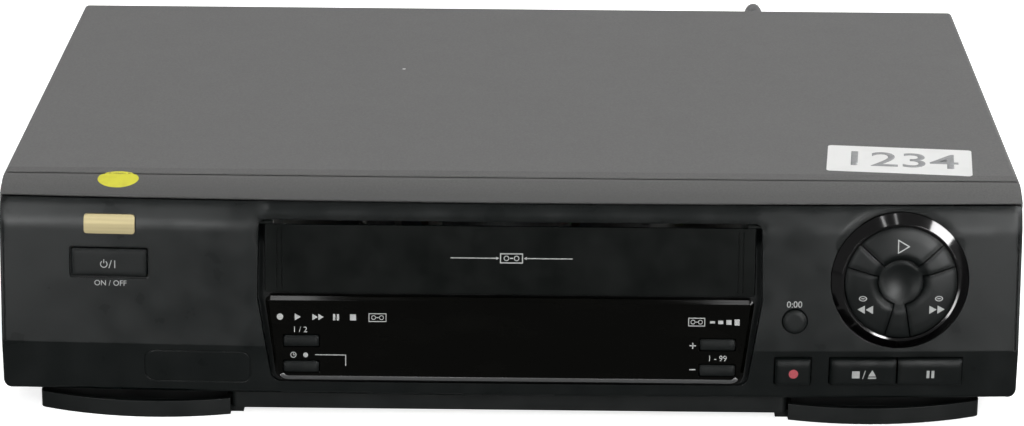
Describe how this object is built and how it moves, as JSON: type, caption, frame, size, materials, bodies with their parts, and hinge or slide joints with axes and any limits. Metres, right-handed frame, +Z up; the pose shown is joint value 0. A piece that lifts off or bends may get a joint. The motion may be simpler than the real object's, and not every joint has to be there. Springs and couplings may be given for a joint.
{
  "type": "video cassette recorder",
  "caption": "Low black and grey video cassette recorder with a front-loading flap, smoked display window, round transport pad, side feet and mains lead.",
  "frame": {"origin": "centre of the floor rectangle under the machine, on the table, half way from the front-most to the rear-most point", "axes": "+X to the right seen from the front, +Y to the back, +Z up"},
  "size_m": [0.4032, 0.4363, 0.094],
  "materials": {
    "cover_paint": "fine textured grey paint on folded sheet steel",
    "panel_plastic": "black moulded plastic, fine satin grain",
    "door_plastic": "black satin plastic",
    "window_smoke": "polished smoked plastic, near black",
    "button_black": "black satin plastic",
    "ring_gloss": "polished black plastic",
    "badge_gold": "satin pale gold foil",
    "tray_plastic": "black moulded plastic, satin",
    "foot_rubber": "dark rubber",
    "zinc_steel": "zinc-plated sheet steel",
    "screw_black": "black oxide screws",
    "socket_plastic": "black plastic",
    "phono_plastic": "plated barrels",
    "cord_vinyl": "black flexible vinyl",
    "board_resin": "tan resin-paper board",
    "core_iron": "varnished laminations",
    "aluminium": "turned or drawn aluminium",
    "tube_glass": "dark display glass",
    "shaft_steel": "ground steel",
    "white_nylon": "off-white nylon",
    "roller_rubber": "black rubber"
  },
  "bodies": {
    "cabinet": {"top_cover": "cover_paint", "cover_screws": "screw_black", "chassis_screws": "screw_black", "front_panel": "panel_plastic", "display_window": "window_smoke", "badge": "badge_gold", "dial_ring": "ring_gloss", "dial_hub": "button_black", "bottom_chassis": "tray_plastic", "front_feet": "tray_plastic", "rear_feet": "foot_rubber", "rear_panel": "zinc_steel", "scart_sockets": "socket_plastic", "audio_sockets": "phono_plastic", "tuner": "zinc_steel", "strain_relief": "cord_vinyl", "mains_cord": "cord_vinyl", "cord_coil": "cord_vinyl", "mains_plug": "cord_vinyl", "main_board": "board_resin", "power_board": "board_resin", "transformer": "core_iron", "heat_sink": "aluminium", "capacitors": "socket_plastic", "front_board": "board_resin", "display_tube": "tube_glass", "tact_switches": "socket_plastic", "mechanism_deck": "zinc_steel", "lower_drum": "aluminium", "reel_belt": "roller_rubber", "tape_heads": "shaft_steel", "cassette_frame": "zinc_steel"},
    "cassette_door": {"cassette_door": "door_plastic"},
    "power_button": {"power_button": "button_black"},
    "speed_button": {"speed_button": "button_black"},
    "link_button": {"link_button": "button_black"},
    "channel_up_button": {"channel_up_button": "button_black"},
    "channel_down_button": {"channel_down_button": "button_black"},
    "display_button": {"display_button": "button_black"},
    "record_button": {"record_button": "button_black"},
    "stop_eject_button": {"stop_eject_button": "button_black"},
    "pause_button": {"pause_button": "button_black"},
    "play_button": {"play_button": "button_black"},
    "rewind_button": {"rewind_button": "button_black"},
    "fast_forward_button": {"fast_forward_button": "button_black"},
    "upper_drum": {"upper_drum": "aluminium"},
    "capstan": {"capstan": "shaft_steel"},
    "centre_pulley": {"centre_pulley": "white_nylon"},
    "supply_reel": {"supply_reel": "white_nylon"},
    "takeup_reel": {"takeup_reel": "white_nylon"},
    "idler_arm": {"idler_arm": "white_nylon"},
    "idler_wheel": {"idler_wheel": "white_nylon"},
    "pinch_arm": {"pinch_arm": "white_nylon"},
    "pinch_roller": {"pinch_roller": "roller_rubber"},
    "tension_arm": {"tension_arm": "white_nylon"},
    "supply_carriage": {"supply_carriage": "white_nylon"},
    "takeup_carriage": {"takeup_carriage": "white_nylon"},
    "holder_sled": {"holder_sled": "zinc_steel"},
    "cassette_holder": {"cassette_holder": "zinc_steel"},
    "lift_gear": {"lift_gear": "white_nylon"}
  },
  "joints": [
    {"name": "door_flap", "type": "hinge", "parent": "cabinet", "child": "cassette_door", "pos_m": [0, -0.12982, 0.0796], "axis": [1, 0, 0], "range_deg": [-82, 0], "stiffness_Nm_per_rad": 0.02, "springref_deg": 20.05},
    {"name": "play_button_press", "type": "slide", "parent": "cabinet", "child": "play_button", "axis": [-0.0339, 0.9897, -0.1392], "range_m": [0, 0.001], "stiffness_N_per_m": 300},
    {"name": "rewind_button_press", "type": "slide", "parent": "cabinet", "child": "rewind_button", "axis": [-0.0339, 0.9897, -0.1392], "range_m": [0, 0.001], "stiffness_N_per_m": 300},
    {"name": "fast_forward_button_press", "type": "slide", "parent": "cabinet", "child": "fast_forward_button", "axis": [-0.0339, 0.9897, -0.1392], "range_m": [0, 0.001], "stiffness_N_per_m": 300},
    {"name": "power_button_press", "type": "slide", "parent": "cabinet", "child": "power_button", "axis": [0.0349, 0.9897, -0.1392], "range_m": [0, 0.001], "stiffness_N_per_m": 300},
    {"name": "display_button_press", "type": "slide", "parent": "cabinet", "child": "display_button", "axis": [-0.0249, 0.99, -0.1392], "range_m": [0, 0.001], "stiffness_N_per_m": 300},
    {"name": "speed_button_press", "type": "slide", "parent": "cabinet", "child": "speed_button", "axis": [0, 0.9903, -0.1392], "range_m": [0, 0.001], "stiffness_N_per_m": 300},
    {"name": "link_button_press", "type": "slide", "parent": "cabinet", "child": "link_button", "axis": [0, 0.9903, -0.1392], "range_m": [0, 0.001], "stiffness_N_per_m": 300},
    {"name": "channel_up_button_press", "type": "slide", "parent": "cabinet", "child": "channel_up_button", "axis": [0, 0.9903, -0.1392], "range_m": [0, 0.001], "stiffness_N_per_m": 300},
    {"name": "channel_down_button_press", "type": "slide", "parent": "cabinet", "child": "channel_down_button", "axis": [0, 0.9903, -0.1392], "range_m": [0, 0.001], "stiffness_N_per_m": 300},
    {"name": "record_button_press", "type": "slide", "parent": "cabinet", "child": "record_button", "axis": [0, 1, 0], "range_m": [0, 0.001], "stiffness_N_per_m": 300},
    {"name": "stop_eject_button_press", "type": "slide", "parent": "cabinet", "child": "stop_eject_button", "axis": [0, 1, 0], "range_m": [0, 0.001], "stiffness_N_per_m": 300},
    {"name": "pause_button_press", "type": "slide", "parent": "cabinet", "child": "pause_button", "axis": [0, 1, 0], "range_m": [0, 0.001], "stiffness_N_per_m": 300},
    {"name": "holder_travel", "type": "slide", "parent": "cabinet", "child": "holder_sled", "axis": [0, 1, 0], "range_m": [0, 0.062]},
    {"name": "holder_drop", "type": "slide", "parent": "holder_sled", "child": "cassette_holder", "axis": [0, 0, -1], "range_m": [0, 0.0223], "stiffness_N_per_m": 60, "springref_m": -0.02},
    {"name": "lift_gear_turn", "type": "hinge", "parent": "cabinet", "child": "lift_gear", "pos_m": [0.0965, -0.0247, 0.03], "axis": [1, 0, 0], "range_deg": [-300, 0]},
    {"name": "drum_spin", "type": "hinge", "parent": "cabinet", "child": "upper_drum", "pos_m": [-0.006, 0.07424, 0.0419], "axis": [0, 0.1045, 0.9945], "continuous": true},
    {"name": "capstan_spin", "type": "hinge", "parent": "cabinet", "child": "capstan", "pos_m": [0.058, 0.0353, 0.02], "axis": [0, 0, 1], "continuous": true},
    {"name": "centre_pulley_spin", "type": "hinge", "parent": "cabinet", "child": "centre_pulley", "pos_m": [0, -0.0177, 0.016], "axis": [0, 0, 1], "continuous": true},
    {"name": "supply_reel_spin", "type": "hinge", "parent": "cabinet", "child": "supply_reel", "pos_m": [-0.04625, -0.0337, 0.026], "axis": [0, 0, 1], "continuous": true},
    {"name": "takeup_reel_spin", "type": "hinge", "parent": "cabinet", "child": "takeup_reel", "pos_m": [0.04625, -0.0337, 0.026], "axis": [0, 0, 1], "continuous": true},
    {"name": "idler_swing", "type": "hinge", "parent": "cabinet", "child": "idler_arm", "pos_m": [0, -0.0177, 0.027], "axis": [0, 0, 1], "range_deg": [-38, 38]},
    {"name": "idler_wheel_spin", "type": "hinge", "parent": "idler_arm", "child": "idler_wheel", "pos_m": [0, -0.0397, 0.026], "axis": [0, 0, 1], "continuous": true},
    {"name": "pinch_swing", "type": "hinge", "parent": "cabinet", "child": "pinch_arm", "pos_m": [0.074, 0.0623, 0.025], "axis": [0, 0, 1], "range_deg": [-25, 0]},
    {"name": "pinch_roller_spin", "type": "hinge", "parent": "pinch_arm", "child": "pinch_roller", "pos_m": [0.0798, 0.0353, 0.04], "axis": [0, 0, 1], "continuous": true},
    {"name": "tension_swing", "type": "hinge", "parent": "cabinet", "child": "tension_arm", "pos_m": [-0.066, 0.0243, 0.025], "axis": [0, 0, 1], "range_deg": [-30, 0]},
    {"name": "supply_loading", "type": "slide", "parent": "cabinet", "child": "supply_carriage", "axis": [-0.1933, 0.9811, 0], "range_m": [0, 0.06727]},
    {"name": "takeup_loading", "type": "slide", "parent": "cabinet", "child": "takeup_carriage", "axis": [0.1933, 0.9811, 0], "range_m": [0, 0.06727]}
  ],
  "couplings": [
    {"joint": "lift_gear_turn", "follows": "holder_travel", "rad_per_m": -83.333},
    {"joint": "centre_pulley_spin", "follows": "capstan_spin", "ratio": 0.42857},
    {"joint": "takeup_loading", "follows": "supply_loading", "ratio": 1}
  ]
}
